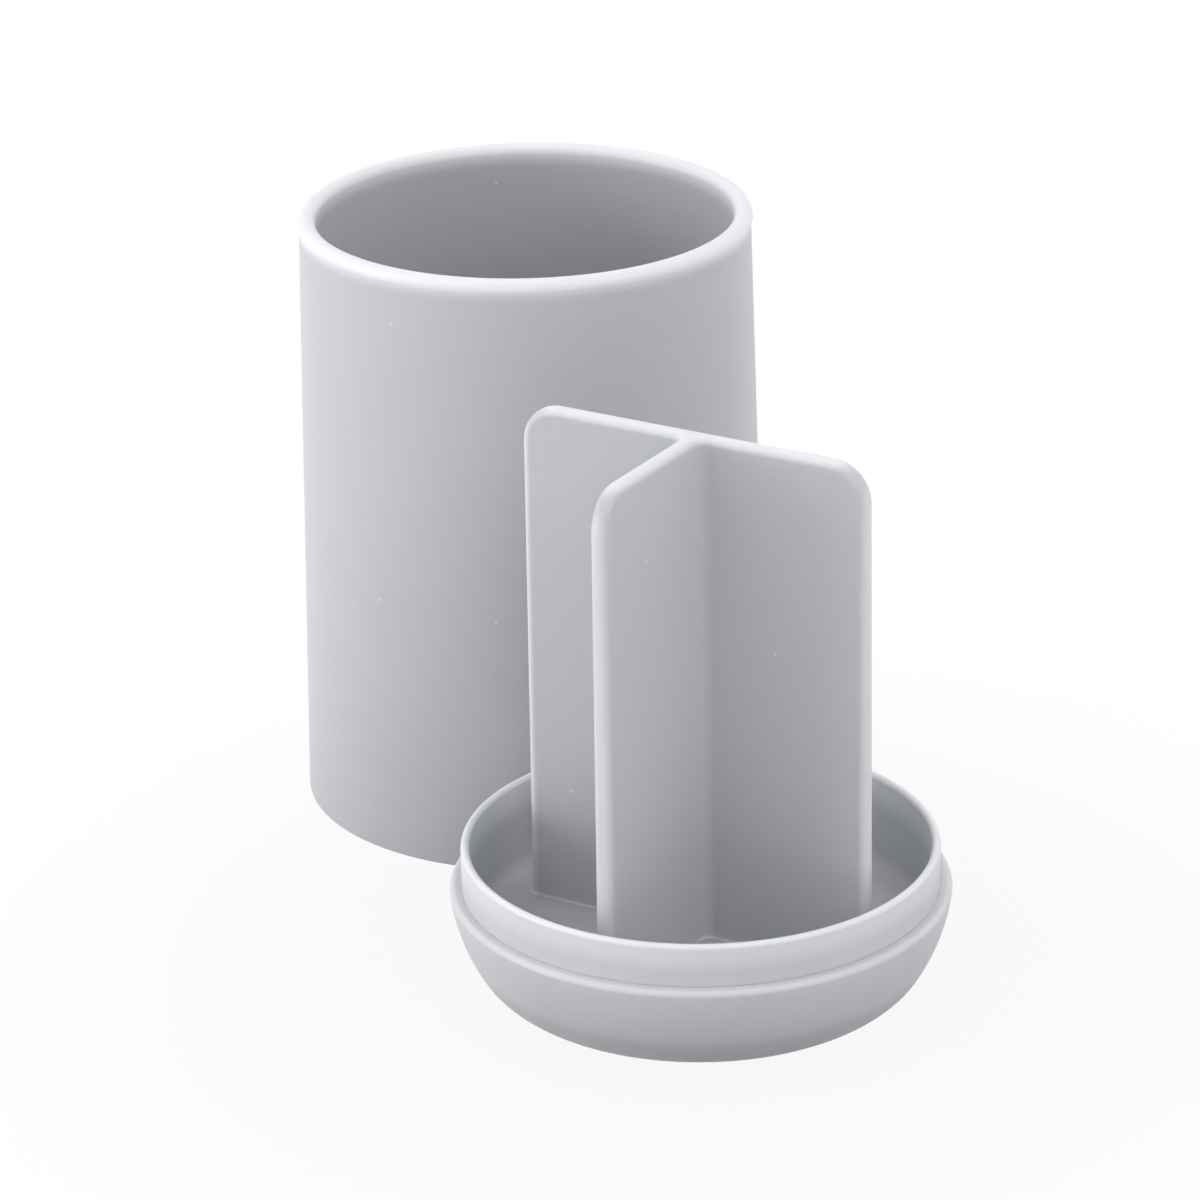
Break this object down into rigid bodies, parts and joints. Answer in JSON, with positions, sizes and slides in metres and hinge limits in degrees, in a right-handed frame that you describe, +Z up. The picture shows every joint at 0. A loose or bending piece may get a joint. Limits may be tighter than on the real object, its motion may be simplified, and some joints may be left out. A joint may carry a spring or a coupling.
{
  "type": "toothbrush holder",
  "caption": "Bathroom toothbrush holder: a rounded bowl with an upright T-shaped divider, and the open, slightly tapered sleeve that seats on its ledge, shown taken off beside it.",
  "frame": {"origin": "middle of the bowl's flat foot, on the surface that the holder stands on", "axes": "+Z up; the picture looks along +Y and down, with +X to the right; the sleeve stands behind the bowl, towards +Y and a little towards -X"},
  "size_m": [0.1029, 0.1534, 0.1],
  "materials": {
    "sleeve_plastic": "satin moulded plastic, pale cool grey",
    "base_plastic": "satin moulded plastic, pale cool grey"
  },
  "bodies": {
    "base": {"bowl": "base_plastic", "divider": "base_plastic"},
    "sleeve": {"sleeve": "sleeve_plastic"}
  },
  "joints": [
    {"name": "sleeve_lift", "type": "slide", "parent": "base", "child": "sleeve", "axis": [0, 0, 1], "range_m": [0, 0.1]}
  ]
}
